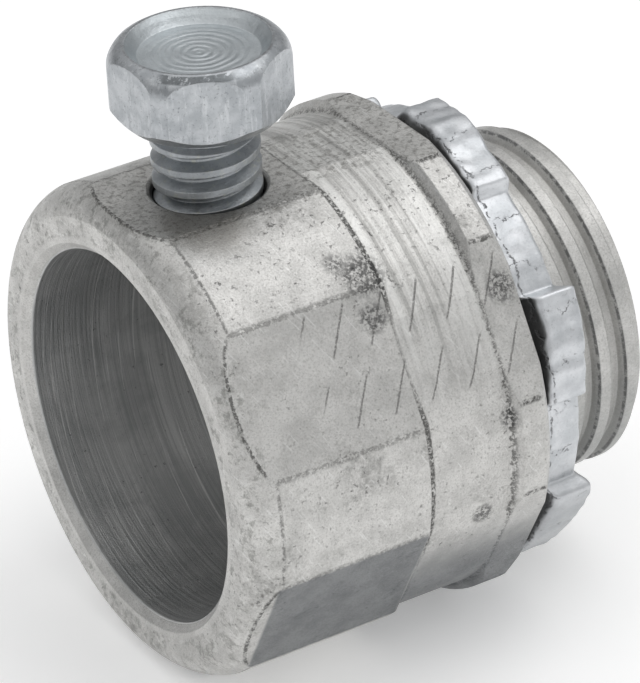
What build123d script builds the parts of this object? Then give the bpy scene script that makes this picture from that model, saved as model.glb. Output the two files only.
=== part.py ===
from build123d import *
import math
import os

# Set-screw connector for 1/2 in rigid or intermediate metal conduit, with its locknut.
# Millimetres. The conduit axis is X: the socket opens towards -X and the threaded nose
# points to +X. The set screw stands on +Z. The origin is where the two axes cross.

# ---- connector body: turned from hexagonal bar ----
BAR_ACROSS_FLATS = 28.2
SOCKET_DIAMETER = 29.4        # the bar's corners turned down over the socket
BAND_DIAMETER = 28.5          # waist turned almost to the flats
COLLAR_DIAMETER = 29.7
SOCKET_FACE_X = -6.7
SOCKET_END_X = 4.65
BAND_END_X = 10.25
COLLAR_START_X = 10.8
SHOULDER_X = 12.75            # the panel or the locknut seats here
COLLAR_EDGE = 0.45
RIM_FLAT_DIAMETER = 26.3      # outer edge of the flat ring round the socket's mouth
RIM_ROUND_LENGTH = 1.8
RIM_MID_RADIUS = 14.2
RIM_MID_X = -5.95

CONDUIT_BORE = 22.2           # takes 21.34 mm conduit
CONDUIT_BORE_CHAMFER = 0.5
CONDUIT_STOP_X = 10.8
THROAT_DIAMETER = 16.0
THROAT_ROUND = 0.7

# ---- nose thread, 1/2-14 straight ----
NOSE_END_X = 22.15
NOSE_MAJOR = 20.6
NOSE_PITCH = 25.4 / 14
NOSE_THREAD_DEPTH = 0.55
NOSE_ROOT_FLAT = 0.5
NOSE_TURNS = 6
NOSE_END_CHAMFER = 0.6
RELIEF_WIDTH = 1.5
RELIEF_BELOW_ROOT = 0.1
TURN_OVERLAP = 1.02           # each groove turn runs a little into the next
GROOVE_OVERSHOOT = 0.3        # the cutter stands this far past the crest

# ---- set screw, 1/4-20 with an indented hexagon head ----
SCREW_MAJOR = 6.2
SCREW_PITCH = 25.4 / 20
SCREW_THREAD_DEPTH = 0.62
SCREW_ROOT_FLAT = 0.16
SCREW_NECK_DIAMETER = 5.6
SCREW_NECK_LENGTH = 0.85
SCREW_UNDER_HEAD = 7.7        # keeps the point just clear of a conduit in the socket
SCREW_TURNS = 6
SCREW_RUNOUT_ANGLE = 100.0    # the groove runs out behind the shank
SCREW_POINT_LENGTH = 0.8
SCREW_POINT_DIAMETER = 4.6
SCREW_CUP_DEPTH = 0.35
SCREW_CUP_RIM = 0.5
SCREW_END_CHAMFER = 0.4
SCREW_NECK_TAPER = 0.3
SCREW_HOLE_DIAMETER = 6.36
SCREW_HOLE_CHAMFER = 0.3
HEAD_BOTTOM_Z = 18.7
HEAD_HEIGHT = 4.4
HEAD_ACROSS_FLATS = 9.4
HEAD_TURN = 33.5              # degrees about Z from a corner on +X
HEAD_CORNER_DIAMETER = 10.3
HEAD_UNDER_CHAMFER = 0.8
CROWN_DROP = 1.15
CROWN_BULGE = 0.32
CROWN_BULGE_DROP = 0.38
DISH_LIP = 0.15
DISH_DIAMETER = 8.2
DISH_FLOOR_DIAMETER = 6.9
DISH_DEPTH = 0.7

# ---- locknut: stamped ring with six lugs bent towards the panel ----
NUT_BORE = 20.76
NUT_NEAR_X = 12.9
NUT_THICKNESS = 2.8
NUT_VALLEY_DIAMETER = 26.6
NUT_LUG_DIAMETER = 28.7
NUT_LUG_ROOT_DIAMETER = 24.6
NUT_LUG_COUNT = 6
NUT_LUG_ANGLE = 34.0
NUT_LUG_SET = 0.8             # how far each lug is bent towards +X
NUT_FIRST_LUG = 19.5          # degrees above -Y
NUT_BORE_CHAMFER = 0.45
NUT_FAR_EDGE = 0.35
NUT_NEAR_EDGE = 0.2
LUG_TIP_EDGE = 0.45
SEAT_INNER_DIAMETER = 21.2
SEAT_OUTER_DIAMETER = 23.8
SEAT_NEAR_X = 12.8
SEAT_FAR_X = 13.1
SEAT_CLEARANCE = 0.1


def groove_cutter(major, depth, root_flat, pitch, turns):
    """Right-hand 60 degree groove about Z from z = 0 upwards, open past the crest."""
    root_radius = major / 2 - depth
    crest_radius = major / 2 + GROOVE_OVERSHOOT
    crest_half = root_flat / 2 + (depth + GROOVE_OVERSHOOT) * math.tan(math.radians(30))
    path = Helix(pitch=pitch, height=pitch * turns, radius=root_radius)
    outline = Polyline(
        (root_radius, -root_flat / 2),
        (crest_radius, -crest_half),
        (crest_radius, crest_half),
        (root_radius, root_flat / 2),
        close=True,
    )
    return sweep(Plane.XZ * make_face(outline), path=path, is_frenet=True)


def cut_nose_thread(body):
    """Cut the nose thread one turn after another, from the relief past the nose's end."""
    groove = groove_cutter(NOSE_MAJOR, NOSE_THREAD_DEPTH, NOSE_ROOT_FLAT, NOSE_PITCH, TURN_OVERLAP)
    turn = Rot(0, 90, 0) * groove
    start = SHOULDER_X + RELIEF_WIDTH / 2
    for index in range(NOSE_TURNS):
        body -= Pos(start + index * NOSE_PITCH, 0, 0) * turn
    return body


def body_profile():
    """Half section of the connector body, as radius over distance along X."""
    bore = CONDUIT_BORE / 2
    rim = RIM_FLAT_DIAMETER / 2
    socket = SOCKET_DIAMETER / 2
    band = BAND_DIAMETER / 2
    collar = COLLAR_DIAMETER / 2
    nose = NOSE_MAJOR / 2
    relief = nose - NOSE_THREAD_DEPTH - RELIEF_BELOW_ROOT
    relief_rise = nose - relief
    throat = THROAT_DIAMETER / 2
    rim_end_x = SOCKET_FACE_X + RIM_ROUND_LENGTH
    mouth_x = SOCKET_FACE_X + CONDUIT_BORE_CHAMFER
    relief_x = SHOULDER_X + RELIEF_WIDTH
    rim_round = ThreePointArc(
        (SOCKET_FACE_X, rim), (RIM_MID_X, RIM_MID_RADIUS), (rim_end_x, socket)
    )
    outside = Polyline(
        (rim_end_x, socket),
        (SOCKET_END_X, socket),
        (SOCKET_END_X, band),
        (BAND_END_X, band),
        (COLLAR_START_X, collar),
        (SHOULDER_X - COLLAR_EDGE, collar),
        (SHOULDER_X, collar - COLLAR_EDGE),
        (SHOULDER_X, relief),
        (relief_x, relief),
        (relief_x + relief_rise, nose),
        (NOSE_END_X - NOSE_END_CHAMFER, nose),
        (NOSE_END_X, nose - NOSE_END_CHAMFER),
        (NOSE_END_X, throat + THROAT_ROUND),
    )
    throat_round = RadiusArc(
        (NOSE_END_X, throat + THROAT_ROUND), (NOSE_END_X - THROAT_ROUND, throat), THROAT_ROUND
    )
    inside = Polyline(
        (NOSE_END_X - THROAT_ROUND, throat),
        (CONDUIT_STOP_X, throat),
        (CONDUIT_STOP_X, bore),
        (mouth_x, bore),
        (SOCKET_FACE_X, bore + CONDUIT_BORE_CHAMFER),
        (SOCKET_FACE_X, rim),
    )
    return make_face([rim_round, outside, throat_round, inside])


def connector_body():
    """Hexagonal bar turned at the corners, bored for the conduit, threaded at the nose."""
    turned = revolve(body_profile(), Axis.X, 360)
    hexagon = Plane.YZ * RegularPolygon(BAR_ACROSS_FLATS / 2, 6, major_radius=False)
    bar = extrude(hexagon, 2 * NOSE_END_X, both=True)
    body = turned & bar
    hole = Pos(0, 0, BAR_ACROSS_FLATS / 2) * Cylinder(SCREW_HOLE_DIAMETER / 2, BAR_ACROSS_FLATS)
    mouth = Pos(0, 0, BAR_ACROSS_FLATS / 2) * Cone(
        SCREW_HOLE_DIAMETER / 2, SCREW_HOLE_DIAMETER / 2 + 2 * SCREW_HOLE_CHAMFER, 2 * SCREW_HOLE_CHAMFER
    )
    return cut_nose_thread(body - hole - mouth)


def screw_head():
    """Cold-formed hexagon head: rounded crown, dished top and chamfered underside."""
    top = HEAD_BOTTOM_Z + HEAD_HEIGHT
    round_corner = HEAD_CORNER_DIAMETER / 2
    dish = DISH_DIAMETER / 2
    crown = Polyline(
        (0, HEAD_BOTTOM_Z),
        (round_corner - HEAD_UNDER_CHAMFER, HEAD_BOTTOM_Z),
        (round_corner, HEAD_BOTTOM_Z + HEAD_UNDER_CHAMFER),
        (round_corner, top - CROWN_DROP),
    )
    shoulder = ThreePointArc(
        (round_corner, top - CROWN_DROP),
        (round_corner - CROWN_BULGE, top - CROWN_BULGE_DROP),
        (dish + DISH_LIP, top),
    )
    floor = Polyline(
        (dish + DISH_LIP, top),
        (dish, top),
        (DISH_FLOOR_DIAMETER / 2, top - DISH_DEPTH),
        (0, top - DISH_DEPTH),
        (0, HEAD_BOTTOM_Z),
    )
    turned = revolve(Plane.XZ * make_face([crown, shoulder, floor]), Axis.Z, 360)
    hexagon = RegularPolygon(HEAD_ACROSS_FLATS / 2, 6, major_radius=False)
    blank = Rot(0, 0, HEAD_TURN) * extrude(hexagon, 2 * HEAD_BOTTOM_Z)
    return turned & blank


def set_screw():
    """Head and threaded shank, down to the plain point."""
    shank_end = HEAD_BOTTOM_Z - SCREW_UNDER_HEAD + SCREW_POINT_LENGTH
    thread_top = HEAD_BOTTOM_Z - SCREW_NECK_LENGTH
    major = SCREW_MAJOR / 2
    neck = SCREW_NECK_DIAMETER / 2
    inside_head = HEAD_BOTTOM_Z + HEAD_UNDER_CHAMFER
    profile = Polyline(
        (0, shank_end),
        (major - SCREW_END_CHAMFER, shank_end),
        (major, shank_end + SCREW_END_CHAMFER),
        (major, thread_top - SCREW_NECK_TAPER),
        (neck, thread_top),
        (neck, inside_head),
        (0, inside_head),
        close=True,
    )
    shank = revolve(Plane.XZ * make_face(profile), Axis.Z, 360)
    groove = groove_cutter(
        SCREW_MAJOR, SCREW_THREAD_DEPTH, SCREW_ROOT_FLAT, SCREW_PITCH, SCREW_TURNS
    )
    groove_start = thread_top - SCREW_NECK_TAPER / 3 - SCREW_TURNS * SCREW_PITCH
    groove = Pos(0, 0, groove_start) * Rot(0, 0, SCREW_RUNOUT_ANGLE) * groove
    return screw_head() + (shank - groove)


def set_screw_point():
    """Cup point below the thread, round about the screw's axis."""
    tip = HEAD_BOTTOM_Z - SCREW_UNDER_HEAD
    radius = SCREW_POINT_DIAMETER / 2
    profile = Polyline(
        (0, tip + SCREW_CUP_DEPTH),
        (radius - SCREW_END_CHAMFER - SCREW_CUP_RIM, tip),
        (radius - SCREW_END_CHAMFER, tip),
        (radius, tip + SCREW_END_CHAMFER),
        (radius, tip + SCREW_POINT_LENGTH),
        (0, tip + SCREW_POINT_LENGTH),
        close=True,
    )
    return revolve(Plane.XZ * make_face(profile), Axis.Z, 360)


def ring(inner, outer, near_x, far_x):
    """Plain ring about X."""
    section = Polyline(
        (near_x, inner), (near_x, outer), (far_x, outer), (far_x, inner), close=True
    )
    return revolve(make_face(section), Axis.X, 360)


def locknut_hub():
    """Ring of the locknut inside its lugs, with broken edges and a seat recess."""
    inner = NUT_BORE / 2
    valley = NUT_VALLEY_DIAMETER / 2
    seat = SEAT_OUTER_DIAMETER / 2 + SEAT_CLEARANCE
    far_x = NUT_NEAR_X + NUT_THICKNESS
    section = Polyline(
        (SEAT_FAR_X, inner + NUT_BORE_CHAMFER),
        (SEAT_FAR_X, seat),
        (NUT_NEAR_X, seat),
        (NUT_NEAR_X, valley - NUT_NEAR_EDGE),
        (NUT_NEAR_X + NUT_NEAR_EDGE, valley),
        (far_x - NUT_FAR_EDGE, valley),
        (far_x, valley - NUT_FAR_EDGE),
        (far_x, inner + NUT_BORE_CHAMFER),
        (far_x - NUT_BORE_CHAMFER, inner),
        (SEAT_FAR_X + NUT_BORE_CHAMFER, inner),
        close=True,
    )
    return revolve(make_face(section), Axis.X, 360)


def locknut_lug():
    """One lug, centred on -Y, bent towards the panel by the set of the lugs."""
    root = NUT_LUG_ROOT_DIAMETER / 2
    tip = NUT_LUG_DIAMETER / 2
    near_x = NUT_NEAR_X + NUT_LUG_SET
    far_x = near_x + NUT_THICKNESS
    section = Polyline(
        (near_x, root),
        (near_x, tip - NUT_NEAR_EDGE),
        (near_x + NUT_NEAR_EDGE, tip),
        (far_x - LUG_TIP_EDGE, tip),
        (far_x, tip - LUG_TIP_EDGE),
        (far_x, root + LUG_TIP_EDGE),
        (far_x - NUT_LUG_SET, root),
        close=True,
    )
    lug = revolve(make_face(section), Axis.X, NUT_LUG_ANGLE)
    return Rot(180 - NUT_LUG_ANGLE / 2, 0, 0) * lug


def locknut():
    """Six-lug locknut, bored to run over the nose thread."""
    nut = locknut_hub()
    for index in range(NUT_LUG_COUNT):
        angle = NUT_FIRST_LUG + index * 360 / NUT_LUG_COUNT
        nut += Rot(-angle, 0, 0) * locknut_lug()
    return nut


def locknut_seat():
    """Bearing boss of the locknut, round about the conduit axis."""
    return ring(SEAT_INNER_DIAMETER / 2, SEAT_OUTER_DIAMETER / 2, SEAT_NEAR_X, SEAT_FAR_X)


parts = {
    "connector_body": connector_body(),
    "set_screw": set_screw(),
    "set_screw_point": set_screw_point(),
    "locknut": locknut(),
    "locknut_seat": locknut_seat(),
}

os.makedirs("parts", exist_ok=True)
for name, shape in parts.items():
    export_step(shape, f"parts/{name}.step")
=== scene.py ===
import math

import bpy
from mathutils import Matrix, Vector, noise


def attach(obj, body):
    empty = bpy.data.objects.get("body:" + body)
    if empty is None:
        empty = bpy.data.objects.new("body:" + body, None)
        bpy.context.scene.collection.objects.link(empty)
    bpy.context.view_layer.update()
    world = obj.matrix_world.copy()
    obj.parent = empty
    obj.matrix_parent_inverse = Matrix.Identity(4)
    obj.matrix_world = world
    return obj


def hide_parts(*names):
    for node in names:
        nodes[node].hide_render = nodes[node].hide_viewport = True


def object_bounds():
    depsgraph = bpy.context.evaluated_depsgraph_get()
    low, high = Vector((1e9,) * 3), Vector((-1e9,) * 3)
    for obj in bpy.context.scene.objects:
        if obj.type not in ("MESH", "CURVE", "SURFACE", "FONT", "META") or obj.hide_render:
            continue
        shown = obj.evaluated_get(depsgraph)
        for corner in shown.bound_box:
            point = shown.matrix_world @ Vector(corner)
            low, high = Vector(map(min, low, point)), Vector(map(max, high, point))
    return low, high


# Set-screw connector for 1/2 in conduit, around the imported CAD. Metres. The conduit axis is X
# and the set screw stands on +Z. Shading works in millimetres, from object coordinates.

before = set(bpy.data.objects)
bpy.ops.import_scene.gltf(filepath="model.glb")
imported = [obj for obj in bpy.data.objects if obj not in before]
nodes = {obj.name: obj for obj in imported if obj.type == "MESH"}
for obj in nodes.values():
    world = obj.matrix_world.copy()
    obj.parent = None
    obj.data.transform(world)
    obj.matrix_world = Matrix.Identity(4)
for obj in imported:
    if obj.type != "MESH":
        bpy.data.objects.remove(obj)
cad_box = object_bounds()
MM = 0.001

# ---- dimensions that the looks follow, in millimetres ----
FLAT_RADIUS = 14.1            # half of the bar across its flats
SOCKET_RADIUS = 14.7
RIM_START, RIM_END = -6.0, -4.9    # the rim's rounding meets the flats between these
SOCKET_FLAT_HALF = 4.157      # half width of a flat along the socket
UNDER_EDGE = -3.45            # upper edge of the shaded lower flats
BAND_START, BAND_END = 4.65, 10.25
STEP_SHADE = 0.68             # painted shadow past the step, for each millimetre of its height
COLLAR_FLAT_HALF = 4.66
BORE_RADIUS = 11.1
BORE_STOP = 10.8              # the conduit's bore ends here
SHOULDER = 12.75
NOSE_START, NOSE_END = 13.0, 22.15
NOSE_RADIUS, NOSE_ROOT = 10.3, 9.75
THREAD_START, THREAD_END = 13.8, NOSE_END - 0.75
SCREW_HOLE_EDGE = 3.3         # radius of the painted shade in the hole round the screw
HEAD_BOTTOM, HEAD_TOP = 18.7, 23.1
DISH_RADIUS = 4.1
# the screw's crown is darker in this direction and opposite, from -Y towards +X
CROWN_DARK_SIDE = math.radians(-32)

# rolled grip marks: rows along X, by their distance round the flats from +Z towards -Y
MARK_PITCH = 2.1
MARK_START, MARK_END = -0.8, 12.2
MARK_ROWS = ((15.0, 17.6), (11.0, 13.6))

# the locknut ring's section in its valleys
NUT_NEAR, NUT_FAR = 13.05, 15.66
NUT_BORE_RADIUS, NUT_VALLEY_RADIUS = 10.45, 13.25
NUT_OUTER_ROUND, NUT_BORE_BREAK = 0.32, 0.4
NUT_ARC_STEPS = 5
NUT_POINT_GAP = 0.28
NUT_STEPS = 900               # sections round the ring
NUT_RIM_RADIUS = 13.5
NUT_SEAM = 14.21              # X of the torn line along the rim
# its lugs: where each starts and ends, in degrees above -Y
LUG_EDGES = ((6, 33), (61, 97), (122, 154), (181, 214), (242, 273), (306, 340))
LUG_FADE = 2.0                # degrees over which a lug's side falls
VALLEY_TIP = 13.22            # radius between the lugs, before the sheared edge's waves
LUG_RISE, LUG_FAR_RISE = 0.72, 0.16    # over the valleys, and what the later end adds
LUG_BEND, LUG_FAR_BEND = 0.16, 0.70    # towards +X, and what the later end adds

# ---- camera, lights and floor, in metres, degrees and watts ----
CAMERA_AZIMUTH, CAMERA_ELEVATION, CAMERA_ROLL = -30.15, 29.72, -3.36
CAMERA_TARGET = (0.0078, 0, 0.0040)
CAMERA_SHIFT_RIGHT, CAMERA_SHIFT_UP = -0.000898, -0.002302
CAMERA_DISTANCE = 0.300
CAMERA_LENS = 275.9           # mm, on a 36 mm wide sensor
LIGHT_CENTRE = (0.008, 0, 0.003)
# name, direction from the part, distance, width and height, power
SOFTBOXES = (
    ("overhead", (0.45, -0.12, 1.0), 0.55, (0.40, 0.26), 0.50),
    ("front", (0.40, -0.80, 0.32), 0.6, (0.50, 0.34), 0.18),
    ("low_front", (-0.05, -1.0, -0.02), 0.55, (0.26, 0.16), 0.08),
    ("right", (1.0, -0.35, 0.35), 0.6, (0.25, 0.40), 0.13),
)
# the world's grey, from a place on its vertical ramp and below, to a place and above
LOW_SKY, HIGH_SKY = (0.40, (0.30, 0.305, 0.31, 1)), (0.78, (0.90, 0.90, 0.90, 1))
FLOOR_HALF = 3.0
FLOOR_GAP = 0.0001
FLOOR_GLOW = 0.26

# smudges on the body: place along X, degrees above -Y, radius
SMUDGES = (
    (4.1, 50, 1.9),
    (2.8, 54, 1.2),
    (3.7, 40.4, 1.2),
    (11.8, 37.5, 1.2),
    (10.4, 8.4, 0.9),
    (8.5, -15, 0.9),
    (1.0, 97, 1.5),
    (5.8, 118, 1.2),
    (9.6, -62, 1.4),
    (-3.0, 128, 1.2),
    (2.5, 188, 1.6),
    (7.5, 236, 1.3),
)
# a brown stain in front of the screw that is also the painted shadow of its head: place along X,
# degrees above -Y, radius
SCREW_STAIN_AND_SHADOW = (-2.4, 76, 3.4)


# ---------------------------------------------------------------- camera
def make_camera():
    """Long lens above and to the left of the socket, tilted a little."""
    azimuth, elevation, roll = (
        math.radians(angle) for angle in (CAMERA_AZIMUTH, CAMERA_ELEVATION, CAMERA_ROLL)
    )
    back = Vector((
        math.sin(azimuth) * math.cos(elevation),
        -math.cos(azimuth) * math.cos(elevation),
        math.sin(elevation),
    ))
    level = Vector((math.cos(azimuth), math.sin(azimuth), 0))
    upright = back.cross(level)
    right = level * math.cos(roll) + upright * math.sin(roll)
    up = upright * math.cos(roll) - level * math.sin(roll)
    target = Vector(CAMERA_TARGET) + right * CAMERA_SHIFT_RIGHT + up * CAMERA_SHIFT_UP
    data = bpy.data.cameras.new("camera")
    data.lens = CAMERA_LENS
    data.sensor_width = 36
    data.clip_start, data.clip_end = 0.01, 10
    camera = bpy.data.objects.new("camera", data)
    bpy.context.scene.collection.objects.link(camera)
    facing = Matrix((right, up, back)).transposed().to_4x4()
    camera.matrix_world = Matrix.Translation(target + back * CAMERA_DISTANCE) @ facing
    bpy.context.scene.camera = camera


# ---------------------------------------------------------------- shader helpers
class Shader:
    """A Principled material, with short calls for the nodes that drive it."""

    def __init__(self, name, metallic, ior=1.5):
        self.material = bpy.data.materials.new(name)
        self.material.use_nodes = True
        self.tree = self.material.node_tree
        self.principled = self.tree.nodes["Principled BSDF"]
        self.principled.inputs["Metallic"].default_value = metallic
        self.principled.inputs["IOR"].default_value = ior
        coords = self.tree.nodes.new("ShaderNodeTexCoord")
        scale = self.tree.nodes.new("ShaderNodeVectorMath")
        scale.operation = "SCALE"
        scale.inputs["Scale"].default_value = 1 / MM
        self.tree.links.new(coords.outputs["Object"], scale.inputs[0])
        self.place = scale.outputs[0]
        split = self.tree.nodes.new("ShaderNodeSeparateXYZ")
        self.tree.links.new(self.place, split.inputs[0])
        self.x, self.y, self.z = split.outputs
        facing = self.tree.nodes.new("ShaderNodeSeparateXYZ")
        self.tree.links.new(coords.outputs["Normal"], facing.inputs[0])
        self.facing_x, self.facing_y, self.facing_z = facing.outputs
        self.bevel = self.tree.nodes.new("ShaderNodeBevel")
        self.bevel.samples = 6

    def put(self, socket, value):
        if isinstance(value, bpy.types.NodeSocket):
            self.tree.links.new(value, socket)
        else:
            socket.default_value = value

    def math(self, operation, a, b=0.0):
        node = self.tree.nodes.new("ShaderNodeMath")
        node.operation = operation
        self.put(node.inputs[0], a)
        self.put(node.inputs[1], b)
        return node.outputs[0]

    def add(self, a, b):
        return self.math("ADD", a, b)

    def mul(self, a, b):
        return self.math("MULTIPLY", a, b)

    def most(self, *values):
        found = values[0]
        for value in values[1:]:
            found = self.math("MAXIMUM", found, value)
        return found

    def vector(self, x, y, z):
        node = self.tree.nodes.new("ShaderNodeCombineXYZ")
        for socket, value in zip(node.inputs, (x, y, z)):
            self.put(socket, value)
        return node.outputs[0]

    def length(self, a, b):
        return self.math("SQRT", self.add(self.mul(a, a), self.mul(b, b)))

    def ramp(self, value, low, high, start=0.0, end=1.0):
        """value from low to high becomes start to end, smoothly and clamped."""
        node = self.tree.nodes.new("ShaderNodeMapRange")
        node.interpolation_type = "SMOOTHSTEP"
        names = ("Value", "From Min", "From Max", "To Min", "To Max")
        for name, entry in zip(names, (value, low, high, start, end)):
            self.put(node.inputs[name], entry)
        return node.outputs[0]

    def ramp_line(self, value, low, high, start, end):
        """As ramp, but straight between its ends."""
        found = self.ramp(value, low, high, start, end)
        found.node.interpolation_type = "LINEAR"
        return found

    def window(self, value, low, high, soft):
        """1 between low and high, with soft ends."""
        rise = self.ramp(value, low - soft, low + soft)
        fall = self.ramp(value, high - soft, high + soft, 1.0, 0.0)
        return self.mul(rise, fall)

    def noise(self, vector, scale, detail=3.0, roughness=0.55, distortion=0.0):
        node = self.tree.nodes.new("ShaderNodeTexNoise")
        self.put(node.inputs["Vector"], vector)
        node.inputs["Scale"].default_value = scale
        node.inputs["Detail"].default_value = detail
        node.inputs["Roughness"].default_value = roughness
        node.inputs["Distortion"].default_value = distortion
        return node.outputs["Fac"]

    def blend(self, share, a, b):
        node = self.tree.nodes.new("ShaderNodeMix")
        node.data_type = "RGBA"
        self.put(node.inputs["Factor"], share)
        for socket, value in ((node.inputs[6], a), (node.inputs[7], b)):
            self.put(socket, (*value, 1) if isinstance(value, tuple) else value)
        return node.outputs[2]

    def coat(self, colour, *layers):
        """This colour under layers, lowest first, each as (mask, strength, tone)."""
        for mask, strength, tone in layers:
            colour = self.blend(self.mul(mask, strength), colour, tone)
        return colour

    def worn_edges(self):
        """1 on sharp edges, where the softened normal leaves the surface's own."""
        geometry = self.tree.nodes.new("ShaderNodeNewGeometry")
        node = self.tree.nodes.new("ShaderNodeVectorMath")
        node.operation = "DOT_PRODUCT"
        self.tree.links.new(self.bevel.outputs[0], node.inputs[0])
        self.tree.links.new(geometry.outputs["Normal"], node.inputs[1])
        return self.ramp(node.outputs["Value"], 0.995, 0.95)

    def swing(self, vector, along, across):
        """Noise drawn out along the second axis of vector, in fine streaks."""
        x, y, z = vector
        drawn_out = self.vector(self.mul(x, across), self.mul(y, along), self.mul(z, across))
        return self.noise(drawn_out, 1.0)

    def finish(self, colour, roughness, height, depth, soft_edge):
        """Wire colour and roughness, and a height of this depth (mm) over softened edges."""
        self.put(self.principled.inputs["Base Color"], colour)
        self.put(self.principled.inputs["Roughness"], roughness)
        self.bevel.inputs["Radius"].default_value = soft_edge * MM
        bump = self.tree.nodes.new("ShaderNodeBump")
        bump.inputs["Distance"].default_value = depth * MM
        bump.inputs["Strength"].default_value = 1.0
        self.put(bump.inputs["Height"], height)
        self.tree.links.new(self.bevel.outputs[0], bump.inputs["Normal"])
        self.tree.links.new(bump.outputs[0], self.principled.inputs["Normal"])
        return self.material


# ---------------------------------------------------------------- materials
def hex_distance(s):
    """Distance from the X axis to the nearest plane of the bar's flats."""
    lean = s.mul(s.y, math.sin(math.radians(60)))
    rise = s.mul(s.z, 0.5)
    return s.most(
        s.math("ABSOLUTE", s.z),
        s.math("ABSOLUTE", s.add(lean, rise)),
        s.math("ABSOLUTE", s.math("SUBTRACT", lean, rise)),
    )


def roll_marks(s, wobble):
    """Shallow rolled grip marks: two rows of short slanted ticks on the socket and the waist."""
    turn = s.mul(s.math("ARCTAN2", s.math("MULTIPLY", s.y, -1.0), s.z), FLAT_RADIUS)
    along = s.add(s.x, s.mul(wobble, 0.15))
    slant = s.add(s.mul(along, 0.85), s.mul(turn, 0.5))
    cycle = s.math("FRACT", s.mul(slant, 1 / MARK_PITCH))
    tick = s.ramp(s.math("ABSOLUTE", s.math("SUBTRACT", cycle, 0.5)), 0.012, 0.036, 1.0, 0.0)
    rows = s.most(*(s.window(turn, low, high, 0.12) for low, high in MARK_ROWS))
    return s.mul(s.mul(tick, rows), s.window(s.x, MARK_START, MARK_END, 0.5))


def spot(s, x, height, size):
    """Soft round spot on the outside, at this X and this many degrees above -Y."""
    turn = math.radians(height)
    centre = (x, -FLAT_RADIUS * math.cos(turn), FLAT_RADIUS * math.sin(turn))
    node = s.tree.nodes.new("ShaderNodeVectorMath")
    node.operation = "DISTANCE"
    s.tree.links.new(s.place, node.inputs[0])
    node.inputs[1].default_value = centre
    return s.ramp(node.outputs["Value"], size * 0.45, size, 1.0, 0.0)


class BodyShader(Shader):
    """The body's material, with its places and the noises that its looks share."""

    def __init__(self, name, metallic):
        super().__init__(name, metallic)
        self.radius = self.length(self.y, self.z)
        self.find_places()
        self.make_noises()

    def find_places(self):
        """Each place is 1 on its own surfaces and 0 elsewhere."""
        self.off_axis = hex_distance(self)
        self.flat = self.ramp(self.math("SUBTRACT", self.off_axis, FLAT_RADIUS), -0.10, -0.03)
        self.arc = self.math("SUBTRACT", 1.0, self.flat)
        self.outside = self.ramp(self.radius, BORE_RADIUS + 0.7, BORE_RADIUS + 1.0)
        self.inside = self.mul(
            self.ramp(self.radius, BORE_RADIUS + 0.02, BORE_RADIUS + 0.12, 1.0, 0.0),
            self.ramp(self.x, BORE_STOP - 0.1, BORE_STOP + 0.1, 1.0, 0.0),
        )
        self.nose = self.mul(
            self.ramp(self.x, NOSE_START - 0.1, NOSE_START + 0.1),
            self.ramp(self.radius, NOSE_RADIUS + 0.2, NOSE_RADIUS + 0.5, 1.0, 0.0),
        )
        self.threaded = self.mul(self.nose, self.window(self.x, THREAD_START, THREAD_END, 0.1))
        self.socket = self.window(self.x, RIM_END - 0.3, BAND_START, 0.15)
        self.band = self.mul(self.window(self.x, BAND_START, BAND_END, 0.08), self.outside)
        self.rim = self.mul(self.ramp(self.x, RIM_END + 0.1, RIM_END - 0.7), self.outside)

    def make_noises(self):
        """Clouds and grains of several sizes, and lines that run round the axis."""
        self.mottle = self.noise(self.place, 0.55, 6.0, 0.62)
        self.patches = self.noise(self.place, 0.24, 6.0, 0.68, 0.3)
        self.grain = self.noise(self.place, 8.5, 4.0, 0.7)
        self.specks = self.noise(self.place, 3.4, 5.0, 0.66)
        self.crumbs = self.noise(self.place, 2.1, 5.0, 0.72)
        self.crackle = self.noise(self.place, 4.2, 4.0, 0.7)
        angle = self.math("ARCTAN2", self.y, self.z)
        turned = self.mul(angle, 3.0)
        leaning_x = self.add(self.x, self.mul(angle, 0.7))
        self.lines = self.swing((self.x, turned, self.radius), 0.5, 7.0)
        self.streaks = self.swing((self.x, turned, self.radius), 0.22, 2.4)
        self.fine_lines = self.swing((self.x, turned, self.radius), 0.35, 14.0)
        self.bore_scratches = self.swing((leaning_x, turned, self.radius), 0.30, 7.0)


def under_shade(s):
    """The socket's lower flats, and the lower side of all that is past the socket."""
    low_flats = s.mul(s.ramp(s.z, UNDER_EDGE + 0.15, UNDER_EDGE - 0.15), s.flat)
    past_socket = s.ramp(s.x, BAND_START - 0.1, BAND_START + 0.1)
    low_side = s.mul(s.ramp(s.z, -3.5, -9.0), past_socket)
    return s.mul(s.most(s.mul(low_flats, s.socket), low_side), s.outside)


def corner_seams(s, jitter):
    """Dark lines beside the corners between flats and turned arcs, on the socket and on the collar.
    """
    past_flat = s.math("SUBTRACT", s.mul(s.radius, s.radius), FLAT_RADIUS**2)
    across = s.math("SQRT", s.most(past_flat, 0.0))
    toward_rim = s.ramp_line(s.x, RIM_START, RIM_END, 1.0, 0.0)
    near_rim = s.ramp(toward_rim, 0.15, 0.5)
    flat_edge = s.length(s.mul(across, 1 / SOCKET_FLAT_HALF), toward_rim)
    flat_edge = s.add(flat_edge, s.add(s.mul(jitter, 0.16), s.mul(near_rim, 0.05)))
    corner = s.mul(s.ramp(flat_edge, 0.97, 1.0), s.mul(s.flat, s.add(s.mul(near_rim, 0.45), 0.60)))
    corner = s.mul(corner, s.ramp(s.x, BAND_START - 0.1, BAND_START, 1.0, 0.0))
    wandering = s.add(across, s.mul(jitter, 0.5))
    collar_edge = s.ramp(wandering, COLLAR_FLAT_HALF - 0.14, COLLAR_FLAT_HALF)
    collar = s.window(s.x, BAND_END + 0.5, SHOULDER - 0.15, 0.2)
    return s.mul(corner, 0.9), s.mul(s.mul(collar, s.flat), collar_edge)


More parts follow.
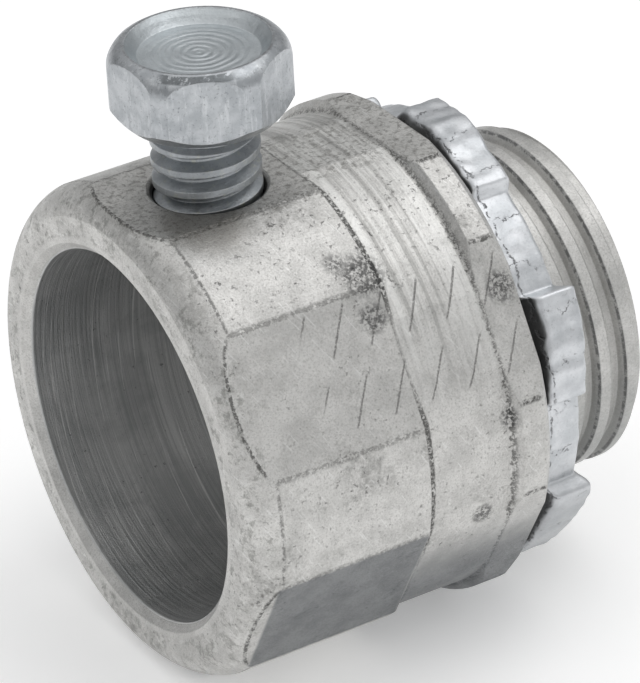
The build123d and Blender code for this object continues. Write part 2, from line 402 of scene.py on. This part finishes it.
def step_shadow(s, jitter):
    """Painted shadow behind the socket, which stands higher than the band on its arcs and hides some
    of it.
    """
    overhang = s.math("DIVIDE", s.mul(s.radius, FLAT_RADIUS), s.off_axis)
    overhang = s.math("SUBTRACT", s.math("MINIMUM", overhang, SOCKET_RADIUS), FLAT_RADIUS)
    past_step = s.math("SUBTRACT", s.add(s.x, s.mul(jitter, 0.5)), s.mul(overhang, STEP_SHADE))
    step = s.ramp(past_step, BAND_START + 0.10, BAND_START + 0.18, 1.0, 0.0)
    step = s.mul(step, s.ramp(s.x, BAND_START - 0.03, BAND_START))
    return s.mul(step, s.ramp(overhang, 0.0, 0.5, 0.45, 1.0))


def body_seams_and_shade(s):
    """Dark lines along all the corners and steps of the outside, with painted shadow behind the step
    and painted shade in the crease where the collar rises from the band.
    """
    jitter = s.math("SUBTRACT", s.crackle, 0.5)
    # painted shade in the crease where the collar rises from the band
    foot_shade = s.window(s.add(s.x, s.mul(jitter, 1.3)), BAND_END + 0.06, BAND_END + 0.26, 0.05)
    rim_edge = s.window(s.add(s.x, s.mul(jitter, 0.5)), RIM_END - 0.10, RIM_END + 0.06, 0.05)
    seams_and_shade = s.most(
        *corner_seams(s, jitter),
        step_shadow(s, jitter),
        s.mul(foot_shade, 0.75),
        s.mul(s.mul(rim_edge, s.arc), 0.6),
    )
    return s.mul(s.mul(seams_and_shade, s.outside), s.ramp(s.crackle, 0.42, 0.56, 0.12, 1.0))


def body_plating(s):
    """Clouded zinc, with brighter and darker turning lines on the band's upper side as painted sheen.
    """
    plating = s.blend(s.ramp(s.mottle, 0.35, 0.65), (0.53, 0.525, 0.51), (0.65, 0.643, 0.625))
    # painted sheen: the turning lines are painted brighter and darker only where the band faces up
    lit_band_sheen = s.mul(s.band, s.ramp(s.z, 2.0, 11.0))
    return s.coat(
        plating,
        (s.ramp(s.grain, 0.50, 0.64), 0.50, (0.36, 0.355, 0.34)),
        (s.ramp(s.grain, 0.46, 0.34), 0.25, (0.86, 0.86, 0.84)),
        (s.mul(lit_band_sheen, s.ramp(s.streaks, 0.42, 0.62)), 0.55, (0.86, 0.86, 0.84)),
        (s.mul(lit_band_sheen, s.ramp(s.streaks, 0.46, 0.36)), 0.45, (0.26, 0.26, 0.25)),
    )


def body_wear_and_shade(s, smudge):
    """Layers of scratches, dirt and darker patches on the outside, lowest first, with the screw
    head's painted shadow in its stain and painted shade low on the nose.
    """
    slanted = s.mul(s.add(s.x, s.mul(s.z, 0.6)), 5.0)
    scratch_space = s.vector(slanted, s.mul(s.y, 0.5), s.mul(s.z, 0.6))
    scratches = s.mul(s.ramp(s.noise(scratch_space, 1.3, 2.0, 0.4), 0.66, 0.71), s.outside)
    rim_wear = s.mul(s.rim, s.ramp(s.noise(s.place, 0.9, 5.0, 0.7), 0.54, 0.64))
    rim_grime = s.mul(s.rim, s.ramp(s.noise(s.place, 1.3, 6.0, 0.74), 0.52, 0.62))
    mouth = s.mul(s.rim, s.ramp(s.radius, BORE_RADIUS + 1.8, BORE_RADIUS + 0.8))
    mouth = s.mul(mouth, s.ramp(s.noise(s.place, 2.2, 5.0, 0.75), 0.50, 0.60))
    top_flat = s.ramp(s.z, FLAT_RADIUS - 0.25, FLAT_RADIUS - 0.1)
    # the top flat is darker in patches
    top_flat_patches = s.mul(top_flat, s.ramp(s.noise(s.place, 2.7, 5.0, 0.72), 0.50, 0.60))
    return (
        (scratches, 0.35, (0.84, 0.84, 0.83)),
        (smudge, 0.38, (0.20, 0.20, 0.19)),
        (rim_wear, 0.35, (0.78, 0.78, 0.76)),
        (rim_grime, 0.55, (0.22, 0.22, 0.205)),
        (mouth, 0.50, (0.16, 0.16, 0.15)),
        (top_flat_patches, 0.55, (0.17, 0.165, 0.15)),
        # brown stain and painted shadow of the screw's head
        (spot(s, *SCREW_STAIN_AND_SHADOW), 0.45, (0.17, 0.15, 0.12)),
        # painted shade: the nose is darker towards its lower side
        (s.mul(s.nose, s.ramp(s.z, 4.0, -6.0)), 0.5, (0.27, 0.28, 0.275)),
    )


def bore_colour(s):
    """Finely turned metal inside the socket, with slanted scratches."""
    return s.coat(
        s.blend(s.ramp(s.fine_lines, 0.3, 0.7), (0.44, 0.445, 0.445), (0.64, 0.64, 0.635)),
        (s.ramp(s.patches, 0.42, 0.60), 0.35, (0.28, 0.29, 0.295)),
        (s.ramp(s.bore_scratches, 0.63, 0.68), 0.55, (0.92, 0.92, 0.90)),
        (s.ramp(s.specks, 0.64, 0.70), 0.7, (0.10, 0.10, 0.10)),
    )


def body_depths(s):
    """Layers for the thread's crest edges and troughs, and painted shade in the screw's hole."""
    crest_edge = s.window(s.radius, NOSE_RADIUS - 0.20, NOSE_RADIUS - 0.03, 0.04)
    crest_edge = s.mul(s.mul(s.threaded, crest_edge), s.ramp(s.crumbs, 0.40, 0.55))
    trough = s.ramp(s.radius, NOSE_ROOT + 0.12, NOSE_RADIUS - 0.15, 1.0, 0.0)
    # painted shade: the hole's walls round the screw are painted nearly black
    hole = s.ramp(s.length(s.x, s.y), SCREW_HOLE_EDGE - 0.05, SCREW_HOLE_EDGE + 0.05, 1.0, 0.0)
    hole = s.mul(hole, s.ramp(s.z, BORE_RADIUS + 0.4, BORE_RADIUS + 0.9))
    return (
        (crest_edge, 0.75, (0.12, 0.12, 0.12)),
        (hole, 0.95, (0.03, 0.028, 0.025)),
        (s.mul(s.threaded, trough), 0.30, (0.34, 0.335, 0.32)),
    )


def body_material():
    s = BodyShader("zinc_matte_body", 0.88)
    pits = s.mul(s.outside, s.ramp(s.patches, 0.38, 0.60, 0.25, 1.0))
    pits = s.mul(s.ramp(s.specks, 0.60, 0.70), pits)
    smudge = s.mul(s.mul(s.ramp(s.patches, 0.50, 0.66), s.outside), s.ramp(s.crumbs, 0.40, 0.66))
    # dark lines at the corners, with painted shadow behind the step and painted shade where the
    # collar rises
    seams_and_shade = body_seams_and_shade(s)
    spots = s.most(*(spot(s, x, height, size) for x, height, size in SMUDGES))
    spots = s.mul(spots, s.ramp(s.crackle, 0.40, 0.56, 0.08, 1.0))
    marks = roll_marks(s, s.math("SUBTRACT", s.mottle, 0.5))
    marks = s.mul(marks, s.ramp(s.grain, 0.36, 0.52))
    cloud = s.add(s.mul(s.mottle, 0.3), s.mul(s.grain, 0.7))
    shade = s.blend(s.ramp(cloud, 0.44, 0.56), (0.10, 0.11, 0.12), (0.20, 0.21, 0.22))

    colour = s.coat(
        body_plating(s),
        *body_wear_and_shade(s, smudge),
        (pits, 0.62, (0.16, 0.16, 0.155)),
        (seams_and_shade, 0.80, (0.07, 0.07, 0.065)),
        (spots, 0.80, (0.06, 0.06, 0.06)),
        (marks, 0.62, (0.15, 0.15, 0.145)),
        (under_shade(s), 0.80, shade),
    )
    colour = s.coat(s.blend(s.inside, colour, bore_colour(s)), *body_depths(s))

    roughness = s.add(0.36, s.mul(s.grain, 0.16))
    roughness = s.add(roughness, s.mul(s.most(smudge, pits, seams_and_shade), 0.2))
    turned = s.most(
        s.mul(s.band, s.add(0.35, s.ramp(s.z, 2.0, 11.0))),
        s.inside,
        s.mul(s.nose, 0.5),
        s.mul(s.arc, 0.4),
    )
    tooling = s.add(s.mul(s.lines, 0.5), s.mul(s.streaks, 1.1))
    height = s.add(s.mul(s.grain, 0.55), s.mul(s.mottle, 0.5))
    height = s.add(height, s.mul(turned, tooling))
    dents = s.most(s.mul(pits, 0.7), marks, s.mul(seams_and_shade, 0.7))
    height = s.math("SUBTRACT", height, s.mul(dents, 1.2))
    return s.finish(colour, roughness, height, 0.05, 0.10)


def screw_material():
    s = Shader("zinc_bright_screw", 0.93)
    radius = s.length(s.x, s.y)
    angle = s.math("ARCTAN2", s.y, s.x)
    mottle = s.noise(s.place, 0.9, 5.0, 0.6)
    grain = s.noise(s.place, 7.0, 5.0, 0.7)
    scuffs = s.noise(s.vector(s.mul(s.x, 2.6), s.mul(s.y, 2.6), s.mul(s.z, 0.45)), 1.0, 5.0, 0.68)
    crumbs = s.noise(s.place, 2.4, 5.0, 0.72)
    specks = s.ramp(s.noise(s.place, 5.2, 5.0, 0.70), 0.56, 0.66)

    # places: the threaded shank, the head's lower half, its dish, the dish's lip and the crown
    shank = s.ramp(s.z, HEAD_BOTTOM - 0.5, HEAD_BOTTOM - 0.1, 1.0, 0.0)
    low = s.mul(s.math("SUBTRACT", 1.0, shank), s.ramp(s.z, HEAD_BOTTOM + 2.3, HEAD_BOTTOM + 0.7))
    dish = s.mul(
        s.ramp(s.z, HEAD_TOP - 0.9, HEAD_TOP - 0.75),
        s.ramp(radius, DISH_RADIUS - 0.05, DISH_RADIUS + 0.05, 1.0, 0.0),
    )
    lip = s.window(radius, DISH_RADIUS - 0.04, DISH_RADIUS + 0.16, 0.05)
    lip = s.mul(lip, s.ramp(s.z, HEAD_TOP - 0.25, HEAD_TOP - 0.12))
    lip = s.mul(lip, s.ramp(crumbs, 0.45, 0.6))
    crown = s.window(radius, DISH_RADIUS + 0.24, DISH_RADIUS + 0.70, 0.05)
    crown = s.mul(crown, s.ramp(s.facing_z, 0.15, 0.30))
    facing = s.add(s.mul(s.x, math.sin(CROWN_DARK_SIDE)), s.mul(s.y, -math.cos(CROWN_DARK_SIDE)))
    toward_mark = s.math("DIVIDE", s.math("ABSOLUTE", facing), radius)
    crown_dark_band = s.mul(s.ramp(toward_mark, 0.86, 0.93), s.mul(crown, s.ramp(crumbs, 0.36, 0.48)))
    worn = s.mul(s.worn_edges(), s.ramp(crumbs, 0.38, 0.56))

    colour = s.coat(
        s.blend(s.ramp(mottle, 0.35, 0.65), (0.38, 0.40, 0.42), (0.51, 0.53, 0.55)),
        (s.ramp(scuffs, 0.54, 0.66), 0.40, (0.74, 0.76, 0.78)),
        (worn, 0.6, (0.84, 0.85, 0.86)),
        (s.mul(low, s.ramp(scuffs, 0.47, 0.36)), 0.5, (0.26, 0.275, 0.29)),
        (s.ramp(grain, 0.54, 0.68), 0.35, (0.34, 0.35, 0.36)),
        (specks, 0.60, (0.17, 0.18, 0.19)),
        # painted reflection: the dish's floor is painted brighter and bluer
        (dish, 0.55, (0.64, 0.69, 0.71)),
        (lip, 0.5, (0.20, 0.20, 0.21)),
        (crown_dark_band, 0.8, (0.10, 0.11, 0.115)),
        (shank, 0.45, (0.24, 0.26, 0.275)),
        (s.mul(shank, s.ramp(crumbs, 0.55, 0.68)), 0.45, (0.50, 0.50, 0.40)),
    )
    # the dish's floor is turned, in rings round the screw's axis
    ring_wave = s.math("SINE", s.mul(s.add(radius, s.mul(mottle, 0.35)), 13.0))
    fine_rings = s.noise(s.vector(s.mul(radius, 7.0), s.mul(angle, 0.3), 0.0), 1.0, 4.0, 0.6)
    rings = s.add(s.mul(ring_wave, 0.34), s.mul(fine_rings, 0.7))
    ring_share = s.mul(dish, s.ramp(radius, 3.1, 2.4, 0.25, 1.0))
    height = s.add(s.mul(mottle, 0.7), s.mul(grain, 0.34))
    height = s.add(height, s.mul(ring_share, rings))
    height = s.add(height, s.mul(scuffs, 0.45))
    return s.finish(colour, s.add(0.24, s.mul(scuffs, 0.18)), height, 0.055, 0.09)


def nut_material():
    s = Shader("zinc_blue_nut", 0.9)
    mottle = s.noise(s.place, 0.7, 5.0, 0.6)
    grain = s.noise(s.place, 6.5, 5.0, 0.7)
    crumbs = s.noise(s.place, 2.2, 5.0, 0.72)
    radius = s.length(s.y, s.z)

    # the stamped rim is torn across its edge in short cracks, and along the middle of it
    turn = s.mul(s.math("ARCTAN2", s.y, s.z), NUT_RIM_RADIUS)
    rim = s.ramp(radius, NUT_VALLEY_RADIUS - 0.55, NUT_VALLEY_RADIUS - 0.25)
    rim_space = s.vector(s.mul(s.x, 0.9), s.mul(turn, 0.9), 0.0)
    wander = s.mul(s.noise(rim_space, 1.0, 4.0, 0.6), 2.6)
    cycle = s.math("FRACT", s.mul(s.add(turn, wander), 0.34))
    across = s.math("ABSOLUTE", s.math("SUBTRACT", cycle, 0.5))
    wandering_x = s.add(s.x, s.mul(wander, 0.45))
    along = s.window(wandering_x, NUT_SEAM - 0.06, NUT_SEAM + 0.06, 0.03)
    cracks = s.most(s.ramp(across, 0.02, 0.005), along)
    cracks = s.mul(s.mul(cracks, rim), s.ramp(crumbs, 0.46, 0.60))
    worn = s.mul(s.worn_edges(), s.ramp(crumbs, 0.40, 0.55))
    # painted shade: the ring's faces that look towards -X are painted nearly black
    near_face_shade = s.mul(
        s.ramp(radius, NUT_VALLEY_RADIUS - 0.65, NUT_VALLEY_RADIUS - 0.45),
        s.ramp(s.facing_x, -0.62, -0.86),
    )
    colour = s.coat(
        s.blend(s.ramp(mottle, 0.35, 0.65), (0.55, 0.57, 0.59), (0.69, 0.705, 0.725)),
        (s.ramp(grain, 0.54, 0.68), 0.30, (0.36, 0.365, 0.37)),
        (s.ramp(crumbs, 0.60, 0.72), 0.35, (0.24, 0.24, 0.245)),
        # painted shade: the ring is darker towards the bottom
        (s.ramp(s.z, 0.0, -8.0), 0.45, (0.36, 0.365, 0.37)),
        (cracks, 0.7, (0.14, 0.14, 0.145)),
        (worn, 0.5, (0.84, 0.85, 0.86)),
        (near_face_shade, 0.92, (0.06, 0.06, 0.06)),
    )
    height = s.add(s.mul(mottle, 0.6), s.mul(grain, 0.3))
    height = s.math("SUBTRACT", height, s.mul(cracks, 0.9))
    return s.finish(colour, s.add(0.33, s.mul(grain, 0.18)), height, 0.06, 0.08)


# ---------------------------------------------------------------- locknut
def smooth(t):
    """0 below 0 and 1 above 1, with a soft rise between."""
    t = min(max(t, 0.0), 1.0)
    return t * t * (3 - 2 * t)


def lug_share(angle):
    """0 in a valley and 1 on a lug, and how far along the lug, at degrees above -Y."""
    share, along = 0.0, 0.5
    for start, end in LUG_EDGES:
        from_centre = (angle - (start + end) / 2 + 180) % 360 - 180
        past_side = abs(from_centre) - (end - start) / 2
        here = 1 - smooth((past_side + LUG_FADE / 2) / LUG_FADE)
        if here > share:
            share, along = here, 0.5 + from_centre / (end - start)
    return share, along


def nut_section(angle):
    """Points of the ring's section at this angle, as (x, radius) in millimetres, outside first."""
    lug, along = lug_share(angle)
    around = Vector((math.cos(math.radians(angle)), math.sin(math.radians(angle)), 0)) * 4.6
    wave = noise.noise(around) * 0.14 + noise.noise(around * 3.1) * 0.06
    tip = VALLEY_TIP + (LUG_RISE + LUG_FAR_RISE * along) * lug + wave * (0.5 + lug)
    bend = (LUG_BEND + LUG_FAR_BEND * smooth(1.15 * along)) * lug
    shift = bend + noise.noise(around * 1.7 + Vector((0, 0, 7))) * 0.05
    points = []
    for x, radius in NUT_OUTLINE:
        bent_share = smooth((radius - 11.9) / 1.6)
        reach = (radius - NUT_BORE_RADIUS) * (tip - NUT_BORE_RADIUS)
        reach /= NUT_VALLEY_RADIUS - NUT_BORE_RADIUS
        points.append((x + shift * bent_share, NUT_BORE_RADIUS + reach))
    return points


def rounded_outline():
    """The ring's section in its valleys: a plate with a soft outer edge and a broken bore edge."""
    soft, broken = NUT_OUTER_ROUND, NUT_BORE_BREAK
    outer, inner = NUT_VALLEY_RADIUS - soft, NUT_BORE_RADIUS + broken
    corners = [
        ((NUT_NEAR + soft, outer), 180, 90, soft),
        ((NUT_FAR - soft, outer), 90, 0, soft),
        ((NUT_FAR - broken, inner), 0, -90, broken),
        ((NUT_NEAR + broken, inner), 270, 180, broken),
    ]
    points = []
    for (x, radius), start, end, size in corners:
        for step in range(NUT_ARC_STEPS + 1):
            turn = math.radians(start + (end - start) * step / NUT_ARC_STEPS)
            points.append((x + size * math.cos(turn), radius + size * math.sin(turn)))
    filled = []
    for index, point in enumerate(points):
        following = points[(index + 1) % len(points)]
        count = max(1, round(math.dist(point, following) / NUT_POINT_GAP))
        for step in range(count):
            share = step / count
            filled.append(tuple(a + (b - a) * share for a, b in zip(point, following)))
    return filled


NUT_OUTLINE = rounded_outline()


def make_locknut():
    """Stamped ring with six lugs bent towards the panel, with sheared and crumpled edges."""
    rows = len(NUT_OUTLINE)
    vertices = []
    for step in range(NUT_STEPS):
        angle = step * 360 / NUT_STEPS
        turn = math.radians(angle)
        for x, radius in nut_section(angle):
            point = Vector((x, -radius * math.cos(turn), radius * math.sin(turn)))
            crumple = smooth((radius - 12.4) / 1.2)
            push = noise.noise(point * 0.9) * 0.09 + noise.noise(point * 2.9) * 0.02
            point.x += push * crumple
            scale = 1 + noise.noise(point * 1.3 + Vector((3, 1, 5))) * 0.005 * crumple
            point.y *= scale
            point.z *= scale
            vertices.append(point * MM)
    faces = []
    for step in range(NUT_STEPS):
        here, there = step * rows, (step + 1) % NUT_STEPS * rows
        for row in range(rows):
            next_row = (row + 1) % rows
            faces.append((here + row, here + next_row, there + next_row, there + row))
    mesh = bpy.data.meshes.new("locknut_ring")
    mesh.from_pydata([tuple(v) for v in vertices], [], faces)
    mesh.validate()
    mesh.polygons.foreach_set("use_smooth", [True] * len(mesh.polygons))
    ring = bpy.data.objects.new("locknut_ring", mesh)
    bpy.context.scene.collection.objects.link(ring)
    return ring


# ---------------------------------------------------------------- stage
def plain_material(name, colour, roughness):
    """Faintly clouded matte paper that glows a little."""
    s = Shader(name, 0.0)
    cloud = s.noise(s.place, 0.01, 2.0, 0.5)
    darker = tuple(channel * 0.985 for channel in colour)
    s.put(s.principled.inputs["Base Color"], s.blend(cloud, colour, darker))
    s.principled.inputs["Roughness"].default_value = roughness
    s.principled.inputs["Specular IOR Level"].default_value = 0.0
    s.principled.inputs["Emission Color"].default_value = (1, 1, 1, 1)
    s.principled.inputs["Emission Strength"].default_value = FLOOR_GLOW
    return s.material


def make_floor(level):
    """Wide pale sheet under the part."""
    mesh = bpy.data.meshes.new("floor")
    sides = ((-1, -1), (1, -1), (1, 1), (-1, 1))
    corners = [(x * FLOOR_HALF, y * FLOOR_HALF, level) for x, y in sides]
    mesh.from_pydata(corners, [], [(0, 1, 2, 3)])
    floor = bpy.data.objects.new("floor", mesh)
    bpy.context.scene.collection.objects.link(floor)
    mesh.materials.append(plain_material("pale_floor", (0.96, 0.96, 0.96), 0.9))


def softbox(name, direction, distance, size, watts):
    """Area light that faces the part from this direction."""
    data = bpy.data.lights.new(name, "AREA")
    data.shape = "RECTANGLE"
    data.size, data.size_y = size
    data.energy = watts
    light = bpy.data.objects.new(name, data)
    bpy.context.scene.collection.objects.link(light)
    toward = Vector(direction).normalized()
    light.location = Vector(LIGHT_CENTRE) + toward * distance
    light.rotation_mode = "QUATERNION"
    light.rotation_quaternion = toward.to_track_quat("Z", "Y")


def light_scene():
    """A world that is darker low down, and softboxes on the part."""
    world = bpy.data.worlds.new("studio")
    bpy.context.scene.world = world
    world.use_nodes = True
    background = world.node_tree.nodes["Background"]
    background.inputs["Strength"].default_value = 1.0
    tree = world.node_tree
    coords = tree.nodes.new("ShaderNodeTexCoord")
    split = tree.nodes.new("ShaderNodeSeparateXYZ")
    ramp = tree.nodes.new("ShaderNodeValToRGB")
    tree.links.new(coords.outputs["Generated"], split.inputs[0])
    tree.links.new(split.outputs["Z"], ramp.inputs["Fac"])
    tree.links.new(ramp.outputs["Color"], background.inputs["Color"])
    for element, (place, colour) in zip(ramp.color_ramp.elements, (LOW_SKY, HIGH_SKY)):
        element.position = place
        element.color = colour
    for name, direction, distance, size, watts in SOFTBOXES:
        softbox(name, direction, distance, size, watts)
    bpy.context.scene.view_settings.view_transform = "Standard"


# ---------------------------------------------------------------- assembly
def assign(node, material):
    """Give a node of the frame this one material."""
    obj = nodes[node]
    obj.data.materials.clear()
    obj.data.materials.append(material)


make_camera()
assign("connector_body", body_material())
screw = screw_material()
assign("set_screw", screw)
assign("set_screw_point", screw)

nut_finish = nut_material()
locknut_ring = make_locknut()
locknut_ring.data.materials.append(nut_finish)
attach(locknut_ring, "nut")
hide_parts("locknut")
assign("locknut_seat", nut_finish)

make_floor(cad_box[0].z - FLOOR_GAP)
light_scene()
